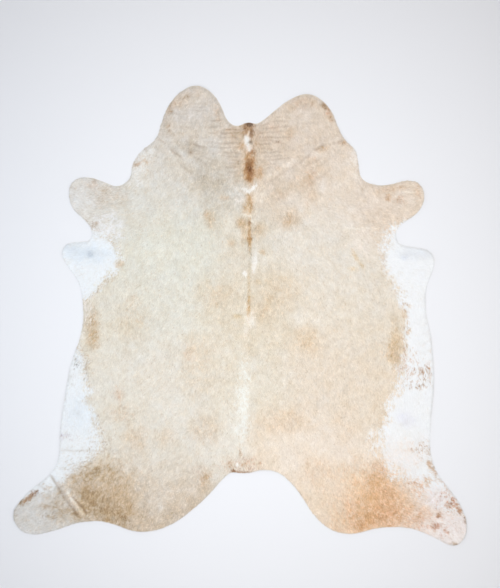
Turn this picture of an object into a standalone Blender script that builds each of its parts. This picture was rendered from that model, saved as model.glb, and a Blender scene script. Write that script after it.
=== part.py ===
"""A whole cowhide laid out flat, hair side up, with its neck towards +Y.

The hide is one solid: a thin sheet with the outline that it was trimmed to, and the low
folds that it keeps from having been rolled up. Its flesh side rests on Z = 0, and the origin
is on the floor under the middle of the hide.

The tables are in millimetres, and everything that Blender gets is in metres.
"""

import math

import bmesh
import bpy
from mathutils import Vector
from mathutils.geometry import delaunay_2d_cdt
from mathutils.kdtree import KDTree

MM = 0.001

# Skin and flat-lying coat together: thick along the back, thin at the belly and the legs.
BACK_THICK = 3.6
BELLY_THICK = 2.3
BACK_MIDDLE = (45.0, 60.0)
BACK_REACH = (1010.0, 1500.0)

# The colour and finish of the coat as a whole.
COAT_COLOUR = (0.68, 0.58, 0.46, 1.0)
COAT_ROUGHNESS = 0.62

# How closely the sheet's points lie: along the outline, over the open sheet and on the folds.
OUTLINE_STEPS = 4
SHEET_SPACING = 46.0
FOLD_SPACING = 30.0
FOLD_ROWS = (-1.0, -0.5, 0.0, 0.5, 1.0)
RIM_CLEARANCE = 9.0
POINT_CLEARANCE = 20.0
MERGE_DISTANCE = 0.01

# The trimmed outline from neck to tail, one landmark a row on the left and on the right.
# name, left x, left y, right x, right y
OUTLINE = (
    ("neck notch", -20, 946, 80, 956),
    ("lobe foot", -60, 970, 110, 971),
    ("lobe inner side", -95, 1045, 180, 1028),
    ("lobe inner shoulder", -140, 1110, 255, 1081),
    ("lobe crown", -217, 1148, 335, 1106),
    ("lobe outer shoulder", -290, 1120, 402, 1080),
    ("lobe outer side", -357, 1046, 455, 1022),
    ("neck side", -392, 958, 492, 932),
    ("neck corner", -415, 888, 527, 872),
    ("shoulder top", -495, 819, 572, 830),
    ("shoulder point", -532, 762, 589, 762),
    ("armpit corner", -552, 682, 607, 686),
    ("armpit", -615, 645, 680, 651),
    ("foreleg upper edge", -685, 669, 760, 656),
    ("foreleg top", -775, 690, 835, 673),
    ("foreleg tip upper", -837, 662, 890, 659),
    ("foreleg tip", -851, 607, 918, 597),
    ("foreleg tip lower", -830, 532, 890, 522),
    ("foreleg under edge", -775, 480, 822, 469),
    ("elbow notch upper", -738, 422, 780, 425),
    ("elbow notch lower", -750, 377, 787, 365),
    ("flap top", -810, 367, 855, 341),
    ("flap shoulder", -870, 351, 935, 326),
    ("flap tip", -886, 305, 969, 275),
    ("flap lower edge", -860, 249, 955, 212),
    ("girth top", -807, 170, 930, 142),
    ("girth", -782, 37, 925, 47),
    ("flank upper", -792, -87, 950, -97),
    ("flank middle", -845, -247, 966, -282),
    ("flank lower", -877, -422, 960, -427),
    ("flank end", -899, -592, 950, -562),
    ("stifle", -906, -717, 955, -707),
    ("stifle corner", -947, -795, 982, -785),
    ("shank upper edge", -1020, -852, 1040, -862),
    ("shank outer edge", -1092, -925, 1105, -960),
    ("shank tip outer", -1129.7, -990, 1130, -1052),
    ("shank tip", -1107, -1057, 1107, -1125),
    ("shank tip inner", -1052, -1090, 1065, -1148),
    ("shank under edge", -915, -1069, 970, -1107),
    ("hock", -830, -1039, 865, -1065),
    ("thigh dip", -715, -1024, 770, -1055),
    ("thigh", -615, -1046, 655, -1066),
    ("haunch outer", -545, -1071, 600, -1082),
    ("haunch bottom", -460, -1076, 540, -1088),
    ("haunch inner", -355, -1047, 455, -1067),
    ("haunch side", -250, -977, 375, -1000),
    ("rump side", -150, -885, 322, -922),
    ("rump corner", -75, -803, 250, -828),
    ("tail side", -40, -780, 185, -780),
    ("tail root", -12, -784, 110, -769),
)
NECK_NUB = (47, 966)
TAIL_NUB = (45, -783)

# Ridges left by the way the hide was folded. One that runs over the rim reaches past it here.
# name, start x, start y, end x, end y, height, half width
FOLDS = (
    ("left hock main", -972, -722, -728, -1073, 9.0, 23.0),
    ("left hock second", -893, -799, -702, -1072, 5.5, 18.0),
    ("left hock outer", -1004, -790, -808, -1072, 4.0, 27.0),
    ("right hock", 1062, -826, 872, -1010, 4.5, 26.0),
    ("left neck base", -452, 920, -225, 700, 5.0, 30.0),
    ("left neck base second", -350, 890, -160, 735, 3.0, 28.0),
    ("right neck base", 566, 900, 170, 735, 5.0, 32.0),
    ("right shoulder stored fold", 520, 432, 800, 432, 3.5, 24.0),
    ("right foreleg stored fold", 780, 615, 950, 615, 3.0, 22.0),
    ("left stifle stored fold", -950, -672, -545, -672, 3.5, 24.0),
    ("left flap", -925, 318, -620, 296, 7.0, 42.0),
    ("right flap", 1010, 262, 770, 322, 7.0, 42.0),
    ("right belly upper", 845, -5, 1000, -190, 5.0, 34.0),
    ("right belly lower", 865, -120, 1010, -300, 4.0, 30.0),
    ("left belly", -740, -190, -900, -330, 4.0, 34.0),
    ("upper neck roll", -150, 905, 230, 912, 1.8, 24.0),
    ("middle neck roll", -115, 848, 205, 852, 1.6, 24.0),
    ("lower neck roll", -125, 788, 160, 790, 1.5, 24.0),
)
FOLD_FADE = 75.0

# Places where the rim stands a little off the floor.
# name, centre x, centre y, reach across, reach along, height
SWELLS = (
    ("left neck lobe", -230, 1150, 190, 110, 7.0),
    ("right neck lobe", 345, 1110, 180, 100, 5.5),
    ("left foreleg", -870, 600, 110, 150, 6.5),
    ("right foreleg", 935, 590, 110, 140, 5.5),
    ("left shank", -1130, -1000, 150, 150, 8.0),
    ("right shank", 1135, -1100, 140, 150, 8.0),
    ("left haunch", -490, -1090, 230, 95, 5.5),
    ("right haunch", 560, -1100, 220, 95, 5.0),
    ("left flank", -900, -460, 95, 210, 4.5),
    ("right flank", 985, -400, 100, 230, 5.5),
    ("rump", 120, -770, 170, 90, 5.0),
)


def clear_scene():
    for thing in list(bpy.data.objects):
        bpy.data.objects.remove(thing)


def make_collection(name):
    collection = bpy.data.collections.new(name)
    bpy.context.scene.collection.children.link(collection)
    return collection


def coat_material():
    material = bpy.data.materials.new("hair_on_hide")
    material.use_nodes = True
    shader = material.node_tree.nodes["Principled BSDF"]
    shader.inputs["Base Color"].default_value = COAT_COLOUR
    shader.inputs["Roughness"].default_value = COAT_ROUGHNESS
    shader.inputs["Metallic"].default_value = 0.0
    return material


def outline_landmarks():
    """The landmarks in order round the hide: down its left side, then up its right."""
    left = [(left_x, left_y) for _, left_x, left_y, _, _ in OUTLINE]
    right = [(right_x, right_y) for _, _, _, right_x, right_y in OUTLINE]
    return [NECK_NUB, *left, TAIL_NUB, *reversed(right)]


def outline_points():
    """Points round the rim, read from a smooth closed curve through the landmarks."""
    landmarks = outline_landmarks()
    curve = bpy.data.curves.new("outline", "CURVE")
    curve.resolution_u = OUTLINE_STEPS
    spline = curve.splines.new("BEZIER")
    spline.bezier_points.add(len(landmarks) - 1)
    spline.use_cyclic_u = True
    for point, (x, y) in zip(spline.bezier_points, landmarks):
        point.co = (x, y, 0)
        point.handle_left_type = "AUTO"
        point.handle_right_type = "AUTO"
    guide = bpy.data.objects.new("outline", curve)
    bpy.context.scene.collection.objects.link(guide)
    bpy.context.view_layer.update()
    traced = bpy.data.meshes.new_from_object(guide)
    points = [vertex.co.to_2d() for vertex in traced.vertices]
    bpy.data.meshes.remove(traced)
    bpy.data.objects.remove(guide)
    return points


def nearness(points):
    """A function that says how far a place is from the nearest of the points."""
    tree = KDTree(len(points))
    for index, point in enumerate(points):
        tree.insert(point.to_3d(), index)
    tree.balance()
    return lambda place: tree.find(place.to_3d())[2]


def fold_rows(rim_gap):
    """Rows of points along each fold, so that its ridge follows the sheet's edges."""
    rows = []
    for _, start_x, start_y, end_x, end_y, _, half_width in FOLDS:
        start = Vector((start_x, start_y))
        along = Vector((end_x, end_y)) - start
        across = along.orthogonal().normalized() * half_width
        count = max(2, round(along.length / FOLD_SPACING))
        for side in FOLD_ROWS:
            row = [start + across * side + along * (step / count) for step in range(count + 1)]
            rows.append([point for point in row if rim_gap(point) > RIM_CLEARANCE])
    return rows


def lattice_points(rim):
    """A triangular lattice of points over the hide's box."""
    low_x = min(point.x for point in rim)
    high_x = max(point.x for point in rim)
    low_y = min(point.y for point in rim)
    high_y = max(point.y for point in rim)
    row_gap = SHEET_SPACING * math.sqrt(0.75)
    points = []
    for row in range(math.ceil((high_y - low_y) / row_gap)):
        shift = SHEET_SPACING / 2 if row % 2 else 0.0
        for column in range(math.ceil((high_x - low_x) / SHEET_SPACING)):
            points.append(Vector((low_x + shift + column * SHEET_SPACING, low_y + row * row_gap)))
    return points


def fold_lift(place, fold):
    """How far one fold lifts the sheet at a place: a soft ridge that fades at both ends."""
    _, start_x, start_y, end_x, end_y, height, half_width = fold
    start = Vector((start_x, start_y))
    along = Vector((end_x, end_y)) - start
    reached = (place - start).dot(along) / along.length
    aside = abs((place - start).dot(along.orthogonal()) / along.length)
    end_gap = min(reached, along.length - reached)
    if aside >= half_width or end_gap <= 0:
        return 0.0
    profile = math.cos(0.5 * math.pi * aside / half_width) ** 2
    fade = math.sin(0.5 * math.pi * min(1.0, end_gap / FOLD_FADE)) ** 2
    return height * profile * fade


def swell_lift(place, swell):
    """How far one swell lifts the sheet at a place: a low oval rise."""
    _, x, y, across, along, height = swell
    reach = math.hypot((place.x - x) / across, (place.y - y) / along)
    if reach >= 1:
        return 0.0
    return height * math.cos(0.5 * math.pi * reach) ** 2


def lift(place):
    folds = sum(fold_lift(place, fold) for fold in FOLDS)
    swells = sum(swell_lift(place, swell) for swell in SWELLS)
    return folds + swells


def backness(place):
    """1 at the middle of the back, falling to 0 at the belly and the legs."""
    aside = (place.x - BACK_MIDDLE[0]) / BACK_REACH[0]
    along = (place.y - BACK_MIDDLE[1]) / BACK_REACH[1]
    return math.cos(0.5 * math.pi * min(1.0, math.hypot(aside, along))) ** 2


def flesh_side_mesh():
    """The hide's flesh side as an open triangulated sheet that lies on the floor."""
    rim = outline_points()
    rows = fold_rows(nearness(rim))
    points = list(rim)
    edges = []
    for row in rows:
        first = len(points)
        points += row
        edges += [(index, index + 1) for index in range(first, first + len(row) - 1)]
    placed_gap = nearness(points)
    points += [point for point in lattice_points(rim) if placed_gap(point) > POINT_CLEARANCE]
    spots, _, faces, _, _, outlines = delaunay_2d_cdt(
        points, edges, [list(range(len(rim)))], 1, MERGE_DISTANCE
    )
    inner = [face for face, outline in zip(faces, outlines) if outline]
    mesh = bpy.data.meshes.new("hide")
    mesh.from_pydata([(spot.x * MM, spot.y * MM, lift(spot) * MM) for spot in spots], [], inner)
    sheet = bmesh.new()
    sheet.from_mesh(mesh)
    loose = [vertex for vertex in sheet.verts if not vertex.link_faces]
    bmesh.ops.delete(sheet, geom=loose, context="VERTS")
    sheet.to_mesh(mesh)
    sheet.free()
    return mesh


def build_hide(collection):
    """The sheet at its full thickness, which Solidify builds upwards from the flesh side."""
    mesh = flesh_side_mesh()
    mesh.materials.append(coat_material())
    mesh.shade_smooth()
    hide = bpy.data.objects.new("hide", mesh)
    collection.objects.link(hide)
    back = hide.vertex_groups.new(name="back")
    for vertex in mesh.vertices:
        back.add([vertex.index], backness(vertex.co.to_2d() / MM), "REPLACE")
    solidify = hide.modifiers.new("thickness", "SOLIDIFY")
    solidify.thickness = BACK_THICK * MM
    solidify.vertex_group = back.name
    solidify.thickness_vertex_group = BELLY_THICK / BACK_THICK
    solidify.offset = 1.0
    solidify.use_even_offset = True
    return hide


def main():
    clear_scene()
    parts = make_collection("cowhide")
    build_hide(parts)


main()
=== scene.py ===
import math

import bpy
import numpy as np
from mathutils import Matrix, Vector
from mathutils.bvhtree import BVHTree
from mathutils.geometry import delaunay_2d_cdt
from mathutils.kdtree import KDTree


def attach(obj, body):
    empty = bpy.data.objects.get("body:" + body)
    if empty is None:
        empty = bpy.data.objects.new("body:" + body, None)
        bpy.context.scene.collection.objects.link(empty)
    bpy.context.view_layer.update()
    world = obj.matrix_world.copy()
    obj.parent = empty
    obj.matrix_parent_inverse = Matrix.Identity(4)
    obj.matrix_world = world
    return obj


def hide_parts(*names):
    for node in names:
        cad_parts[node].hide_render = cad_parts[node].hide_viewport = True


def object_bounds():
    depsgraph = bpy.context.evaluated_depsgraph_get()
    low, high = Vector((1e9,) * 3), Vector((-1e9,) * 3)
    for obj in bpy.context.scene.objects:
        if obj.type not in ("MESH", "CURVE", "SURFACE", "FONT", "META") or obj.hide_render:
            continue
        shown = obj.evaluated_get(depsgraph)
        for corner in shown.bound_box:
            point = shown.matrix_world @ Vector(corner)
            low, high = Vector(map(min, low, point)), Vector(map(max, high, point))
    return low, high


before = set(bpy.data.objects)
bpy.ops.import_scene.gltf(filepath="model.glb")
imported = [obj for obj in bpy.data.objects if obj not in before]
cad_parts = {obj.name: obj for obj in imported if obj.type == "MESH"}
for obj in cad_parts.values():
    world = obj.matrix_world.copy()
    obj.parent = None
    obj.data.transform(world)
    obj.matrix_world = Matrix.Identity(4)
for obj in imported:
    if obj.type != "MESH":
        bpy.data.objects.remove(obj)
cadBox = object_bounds()
mm = 0.001
print("frame loaded, hide box", [round(v, 4) for v in (*cadBox[0], *cadBox[1])])


# colours are written as sRGB hex, the way the coat looks in plain daylight

def hexToSrgb(code):
    return np.array([int(code[i:i + 2], 16) / 255 for i in (1, 3, 5)])


def srgbToLinear(value):
    value = np.clip(value, 0.0, 1.0)
    return np.where(value <= 0.04045, value / 12.92, ((value + 0.055) / 1.055) ** 2.4)


def linearHex(code):
    return (*srgbToLinear(hexToSrgb(code)), 1.0)


# smooth value noise, the same on every run: cell is the size of its lumps

noiseSize = 512
noiseShift = (97.3, 61.7)    # so that no layer has a corner of its lattice on the origin

# each pattern has a seed of its own, and a pattern in layers takes the numbers after it as well
seeds = {
    "fineLattice": 1,
    "coarseLattice": 2,
    "fleshLattice": 3,
    "hairs": 7,
    "swirl": 21,
    "waver": 31,
    "lumps": 40,
    "specks": 55,
    "undercoat": 56,
    "locks": 57,
    "ragged": 70,
    "whiteEdge": 80,
    "mottle": 90,
    "lockStreaks": 95,
    "tanClouds": 110,
}


def softNoise(x, y, cell, seed):
    table = np.random.default_rng(seed).uniform(-1.0, 1.0, (noiseSize, noiseSize))
    u, v = x / cell + noiseShift[0], y / cell + noiseShift[1]
    iu, iv = np.floor(u).astype(int), np.floor(v).astype(int)
    fu, fv = u - iu, v - iv
    fu, fv = fu * fu * (3 - 2 * fu), fv * fv * (3 - 2 * fv)
    i0, i1 = iu % noiseSize, (iu + 1) % noiseSize
    j0, j1 = iv % noiseSize, (iv + 1) % noiseSize
    low = table[i0, j0] * (1 - fu) + table[i1, j0] * fu
    high = table[i0, j1] * (1 - fu) + table[i1, j1] * fu
    return low * (1 - fv) + high * fv


def noiseLayers(x, y, layers, seed):
    # layers is rows of cell and size
    return sum(size * softNoise(x, y, cell, seed + i) for i, (cell, size) in enumerate(layers))


def smoothStep(low, high, value):
    t = np.clip((value - low) / (high - low), 0.0, 1.0)
    return t * t * (3 - 2 * t)


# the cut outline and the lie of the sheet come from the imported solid, so the coat fits it

form = {
    "rimSpacing": 7.0 * mm,
    "rimSmoothing": 5,
    "gridStep": 4.0 * mm,
    "gridMargin": 48.0 * mm,
    "gridSmoothing": 7,
    "upFacing": 0.5,
    "castFrom": 1.0,
}


def upperRim(mesh):
    # the edges of the up-facing faces that only one of them has, walked into one loop
    def key(point):    # to the micron, so that corners that meet have one key
        return (round(point.x, 6), round(point.y, 6), round(point.z, 6))

    links = {}
    for face in mesh.polygons:
        if face.normal.z < form["upFacing"]:
            continue
        corners = [key(mesh.vertices[i].co) for i in face.vertices]
        for start, end in zip(corners, corners[1:] + corners[:1]):
            if links.get(end) and start in links[end]:
                links[end].remove(start)
            else:
                links.setdefault(start, []).append(end)
    chain = {start: ends[0] for start, ends in links.items() if ends}
    first = next(iter(chain))
    loop, here = [first], chain[first]
    while here != first:
        loop.append(here)
        here = chain[here]
    return np.array(loop)[:, :2]


def evenLoop(points, spacing):
    closed = np.vstack([points, points[:1]])
    travelled = np.concatenate([[0], np.cumsum(np.hypot(*np.diff(closed, axis=0).T))])
    count = int(travelled[-1] / spacing)
    stops = np.linspace(0, travelled[-1], count, endpoint=False)
    return np.column_stack([np.interp(stops, travelled, closed[:, i]) for i in (0, 1)])


def smoothLoop(points, passes):
    for _ in range(passes):
        points = 0.5 * points + 0.25 * (np.roll(points, 1, axis=0) + np.roll(points, -1, axis=0))
    return points


def smoothGrid(values, passes):
    for _ in range(passes):
        padded = np.pad(values, 1, mode="edge")
        values = 0.5 * padded[1:-1, 1:-1] + 0.25 * (padded[:-2, 1:-1] + padded[2:, 1:-1])
        padded = np.pad(values, 1, mode="edge")
        values = 0.5 * padded[1:-1, 1:-1] + 0.25 * (padded[1:-1, :-2] + padded[1:-1, 2:])
    return values


def spreadOutwards(values):
    # cells off the hide take the mean of the neighbours that have a value, ring by ring
    while np.isnan(values).any():
        padded = np.pad(values, 1, constant_values=np.nan)
        around = np.stack([padded[:-2, 1:-1], padded[2:, 1:-1], padded[1:-1, :-2], padded[1:-1, 2:]])
        known = ~np.isnan(around)
        mean = np.where(known, around, 0).sum(0) / np.maximum(known.sum(0), 1)
        values = np.where(np.isnan(values) & known.any(0), mean, values)
    return values


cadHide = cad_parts["hide"]
rim = smoothLoop(evenLoop(upperRim(cadHide.data), form["rimSpacing"]), form["rimSmoothing"])
print("rim points", len(rim))

gridLow = np.array([cadBox[0].x, cadBox[0].y]) - form["gridMargin"]
gridHigh = np.array([cadBox[1].x, cadBox[1].y]) + form["gridMargin"]
gridX = np.arange(gridLow[0], gridHigh[0], form["gridStep"])
gridY = np.arange(gridLow[1], gridHigh[1], form["gridStep"])


def castGrid(direction):
    tree = BVHTree.FromPolygons(
        [v.co for v in cadHide.data.vertices], [p.vertices for p in cadHide.data.polygons]
    )
    start = -direction * form["castFrom"]
    heights = np.full((len(gridX), len(gridY)), np.nan)
    for i, x in enumerate(gridX):
        for j, y in enumerate(gridY):
            hit = tree.ray_cast(Vector((x, y, start)), Vector((0, 0, direction)))[0]
            if hit is not None:
                heights[i, j] = hit.z
    return heights


# rays from above find the hair side, and rays from below the flesh side
topCast = castGrid(-1)
insideGrid = ~np.isnan(topCast)
topGrid = smoothGrid(spreadOutwards(topCast), form["gridSmoothing"])
baseGrid = smoothGrid(spreadOutwards(castGrid(1)), form["gridSmoothing"])
print("heights cast on", insideGrid.sum(), "cells")


def rimGapGrid():
    # how far each cell is from the rim: above 0 on the hide and below 0 off it
    tree = KDTree(len(rim))
    for i, (x, y) in enumerate(rim):
        tree.insert((x, y, 0), i)
    tree.balance()
    gaps = np.zeros(insideGrid.shape)
    for i, x in enumerate(gridX):
        for j, y in enumerate(gridY):
            gaps[i, j] = tree.find((x, y, 0))[2]
    return np.where(insideGrid, gaps, -gaps)


rimGap = rimGapGrid()


def readGrid(grid, x, y):
    # 1.001 keeps the last point inside the last cell
    u = np.clip((x - gridX[0]) / form["gridStep"], 0, len(gridX) - 1.001)
    v = np.clip((y - gridY[0]) / form["gridStep"], 0, len(gridY) - 1.001)
    i, j = u.astype(int), v.astype(int)
    fu, fv = u - i, v - j
    low = grid[i, j] * (1 - fu) + grid[i + 1, j] * fu
    high = grid[i, j + 1] * (1 - fu) + grid[i + 1, j + 1] * fu
    return low * (1 - fv) + high * fv


# the skin's own relief on top of the solid's folds, given in millimetres
# creases are name, start x, start y, end x, end y, depth, half width, painted shade: the last is shade
# painted into the hair's colour along a crease, and below 0 it is a painted highlight along a ridge
# (depth below 0)

relief = {
    "coatDepth": 1.1 * mm,
    "leastSkin": 0.9 * mm,
    "lumps": ((140.0, 0.6), (46.0, 0.3), (19.0, 0.15)),
    "fadeIn": 30.0,
    "waver": (27.0, 2.6),
    "foldMargin": 10.0,
    "foldLead": 2.0,
}

creases = (
    ("left hock upper", -952, -792, -868, -925, 2.0, 6.5, 0.20),
    ("left hock lower", -874, -915, -798, -1016, 2.0, 6.5, 0.20),
    ("left hock ridge", -872, -866, -766, -1012, -1.9, 10.0, -0.14),
    ("left hock second", -845, -893, -756, -998, 1.7, 5.0, 0.3),
    ("left hock third", -808, -906, -748, -996, -0.8, 7.0, -0.06),
    ("left hock short", -830, -985, -808, -1012, 0.8, 5.0, 0.10),
    ("right hock ridge", 1022, -865, 940, -940, -1.1, 6.0, -0.06),
    ("right hock ridge low", 952, -930, 895, -975, -1.0, 6.0, -0.05),
    ("right hock crease", 1004, -870, 925, -946, 0.8, 5.0, 0.06),
    ("left neck base start", -414, 884, -368, 858, 0.9, 4.5, 0.11),
    ("left neck base", -358, 842, -278, 774, 1.3, 4.5, 0.15),
    ("left neck base low", -300, 760, -230, 700, 0.8, 6.0, 0.06),
    ("left neck base upper", -322, 850, -268, 790, -0.7, 7.0, -0.04),
    ("left neck middle", -252, 858, -158, 838, 0.9, 5.0, 0.16),
    ("left neck middle low", -262, 822, -232, 806, 0.8, 7.0, 0.16),
    ("left neck lower", -232, 800, -150, 742, 0.6, 6.0, 0.08),
    ("right neck base outer", 522, 872, 452, 860, 0.9, 6.0, 0.08),
    ("right neck base", 442, 862, 362, 820, 1.1, 6.0, 0.12),
    ("right neck base low", 366, 824, 286, 752, 1.1, 5.0, 0.12),
    ("right neck lower", 420, 792, 318, 742, 0.8, 6.0, 0.07),
    ("right neck ridge", 432, 830, 330, 776, -0.7, 8.0, -0.05),
    ("right neck lower ridge", 110, 676, 290, 792, -0.7, 7.0, -0.06),
    ("right neck lower crease", 132, 660, 304, 768, 0.6, 6.0, 0.06),
    ("right shoulder", 470, 740, 330, 640, 0.7, 8.0, 0.05),
    ("right shoulder stored fold", 520, 437, 720, 434, -0.8, 4.0, -0.05),
    ("right foreleg stored fold", 800, 617, 912, 616, -0.9, 4.0, -0.09),
    ("left stifle stored fold", -905, -674, -670, -676, 0.9, 4.0, 0.08),
    ("left stifle stored fold inner", -680, -676, -560, -674, 0.6, 4.0, 0.04),
    ("right elbow fold", 767, 505, 763, 425, -0.8, 5.0, -0.05),
    ("left flap fold", -840, 318, -640, 305, 0.9, 20.0, 0.015),
    ("left flap fold upper", -870, 352, -750, 345, 0.6, 14.0, 0.01),
    ("right flap fold", 790, 308, 955, 298, 0.8, 18.0, 0.015),
    ("right flap edge fold", 905, 345, 960, 300, 0.6, 10.0, 0.02),
    ("right girth fold", 855, 232, 955, 222, 0.6, 6.0, 0.02),
    ("right belly fold first", 898, -58, 962, -22, 0.6, 6.0, 0.02),
    ("right belly fold second", 892, -104, 965, -66, 0.6, 6.0, 0.025),
    ("right belly fold third", 900, -152, 965, -118, 0.6, 6.0, 0.025),
    ("right belly fold fourth", 888, -196, 962, -168, 0.6, 6.0, 0.02),
    ("left flank fold", -905, -330, -800, -285, 0.9, 12.0, 0.02),
    ("left flank fold low", -860, -470, -780, -500, 1.0, 16.0, 0.02),
    ("right flank hollow", 790, -560, 860, -520, 1.0, 18.0, 0.02),
    ("left haunch stored fold", -230, -752, 40, -752, 0.4, 4.0, 0.03),
    ("left shank fold", -1030, -830, -955, -880, 0.8, 7.0, 0.07),
)

# the fine wrinkles across the neck: start x, start y, end x, end y, painted shade in the trough

wrinkles = (
    (-92, 930, 16, 925, 0.22), (-108, 910, 12, 912, 0.17), (-122, 892, 0, 890, 0.11),
    (-137, 860, 16, 862, 0.14), (-122, 838, 6, 841, 0.11), (-92, 820, 20, 808, 0.17),
    (-102, 797, 16, 790, 0.13), (-64, 777, 26, 772, 0.13), (-64, 759, 22, 760, 0.14),
    (-82, 737, 16, 746, 0.13), (-72, 717, 16, 722, 0.11), (-42, 691, 20, 700, 0.11),
    (-30, 668, 24, 676, 0.07), (-162, 976, -68, 975, 0.17), (-176, 940, -88, 948, 0.14),
    (-282, 1056, -168, 1057, 0.06), (-272, 1040, -158, 1041, 0.08), (-262, 1025, -162, 1024, 0.07),
    (-362, 1010, -238, 1004, 0.08), (-326, 987, -248, 981, 0.04), (-170, 912, -106, 912, 0.11),
    (-262, 832, -174, 816, 0.09), (-190, 790, -110, 772, 0.07), (-240, 945, -178, 950, 0.04),
    (-170, 770, -110, 748, 0.08), (-205, 890, -150, 888, 0.07), (-130, 690, -60, 672, 0.06),
    (90, 946, 162, 962, 0.14), (110, 934, 252, 948, 0.13), (78, 911, 212, 922, 0.11),
    (88, 890, 262, 891, 0.17), (84, 875, 222, 871, 0.13), (84, 852, 162, 858, 0.17),
    (90, 835, 182, 831, 0.11), (84, 815, 222, 819, 0.14), (110, 795, 252, 803, 0.08),
    (88, 775, 262, 789, 0.11), (110, 752, 202, 763, 0.11), (108, 731, 182, 749, 0.08),
    (150, 993, 252, 992, 0.08), (140, 972, 242, 973, 0.11), (228, 905, 330, 912, 0.06),
    (196, 848, 262, 842, 0.06), (262, 1000, 352, 1012, 0.06), (270, 960, 380, 962, 0.05),
    (-176, 868, -128, 866, 0.08), (-158, 846, -112, 842, 0.07), (-150, 812, -104, 806, 0.08),
    (-146, 730, -84, 726, 0.07), (-122, 708, -76, 700, 0.06), (86, 708, 150, 716, 0.07),
    (160, 866, 240, 858, 0.07), (176, 916, 262, 926, 0.07), (210, 822, 288, 830, 0.06),
    (-318, 968, -232, 962, 0.05), (-300, 944, -236, 938, 0.05), (-262, 900, -196, 892, 0.06),
    (-290, 872, -216, 858, 0.06), (-226, 846, -176, 830, 0.06), (180, 1016, 268, 1020, 0.07),
)
wrinkleDepth, wrinkleWidth = 0.9, 3.2
folds = creases + tuple(("neck wrinkle", *w[:4], wrinkleDepth, wrinkleWidth, w[4]) for w in wrinkles)


def foldMarks(x, y):
    # how deep the folds are at each point in millimetres, and how much painted shade they lay on the
    # colour, a painted highlight where it is below 0; root is each fold's painted shade
    depth, shade = np.zeros_like(x), np.zeros_like(x)
    xMm, yMm = x / mm, y / mm
    cell, size = relief["waver"]
    waver = size * softNoise(xMm, yMm, cell, seeds["waver"])
    for _, startX, startY, endX, endY, deep, width, root in folds:
        along = np.array([endX - startX, endY - startY], float)
        length = math.hypot(*along)
        reach = length / 2 + 3 * width + relief["foldMargin"]
        middleX, middleY = (startX + endX) / 2, (startY + endY) / 2
        near = np.flatnonzero((abs(xMm - middleX) < reach) & (abs(yMm - middleY) < reach))
        px, py = xMm[near] - startX, yMm[near] - startY
        reached = (px * along[0] + py * along[1]) / length
        aside = (px * along[1] - py * along[0]) / length + waver[near]
        fade = min(relief["fadeIn"], length / 3)
        lead = -relief["foldLead"]
        share = smoothStep(lead, fade, reached) * smoothStep(lead, fade, length - reached)
        share = share * np.exp(-((aside / width) ** 2))
        depth[near] += deep * share
        shade[near] += root * share
    return depth, shade


def skinHeight(x, y):
    height = readGrid(topGrid, x, y) - relief["coatDepth"]
    for i, (cell, size) in enumerate(relief["lumps"]):
        height += size * mm * softNoise(x / mm, y / mm, cell, seeds["lumps"] + i)
    height -= foldMarks(x, y)[0] * mm
    return np.maximum(height, fleshHeight(x, y) + relief["leastSkin"])


def fleshHeight(x, y):
    return np.maximum(readGrid(baseGrid, x, y), 0.0)


# which way the hair lies: name, gap from the spine, y, direction outwards, direction along

hairLie = (
    ("crest", 0, 900, 0.0, -1.0),
    ("neck lobe", 280, 1050, 0.45, -1.0),
    ("side of neck", 400, 850, 0.55, -1.0),
    ("shoulder", 420, 600, 0.5, -1.0),
    ("foreleg root", 650, 570, 0.9, -0.5),
    ("foreleg", 820, 600, 1.0, -0.1),
    ("flap", 840, 290, 0.9, -0.5),
    ("spine", 0, 300, 0.0, -1.0),
    ("ribs", 450, 200, 0.35, -1.0),
    ("belly", 800, -50, 0.25, -1.0),
    ("loin", 0, -350, 0.0, -1.0),
    ("flank", 500, -350, 0.35, -1.0),
    ("flank edge", 850, -450, 0.2, -1.0),
    ("rump", 0, -700, 0.0, -1.0),
    ("thigh", 450, -900, 0.35, -1.0),
    ("haunch", 680, -850, 0.6, -0.9),
    ("shank", 960, -950, 1.0, -0.6),
)
spineX = 45.0
lieReach = 230.0
leastWeight = 1e-5    # a point far from every row still has a direction
lieSwirls = ((130.0, 0.35), (38.0, 0.35))
lockForm = {
    "steps": (-0.8, 0.0, 0.8),
    "gain": 1.35,    # gives back the contrast that the mean of the steps takes off
}


def lieDirection(x, y):
    side = np.where(x / mm < spineX, -1.0, 1.0)
    gap = abs(x / mm - spineX)
    dirX, dirY = np.zeros_like(x), np.zeros_like(x)
    for _, out, along, towardsOut, towardsAlong in hairLie:
        weight = np.exp(-((np.hypot(gap - out, y / mm - along) / lieReach) ** 2)) + leastWeight
        dirX += weight * towardsOut
        dirY += weight * towardsAlong
    return np.arctan2(dirY, dirX * side) + noiseLayers(x / mm, y / mm, lieSwirls, seeds["swirl"])


def streakNoise(x, y, angle, cell, seed):
    # noise drawn out along the lie of the hair, as locks are
    total = sum(
        softNoise(x / mm + s * cell * np.cos(angle), y / mm + s * cell * np.sin(angle), cell, seed)
        for s in lockForm["steps"]
    )
    return total / len(lockForm["steps"]) * lockForm["gain"]


# the ground of the roan coat by zone of the body, cooler on the left side than on the right:
# name, gap from the spine, y, reach in millimetres, colour on the left, colour on the right

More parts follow.
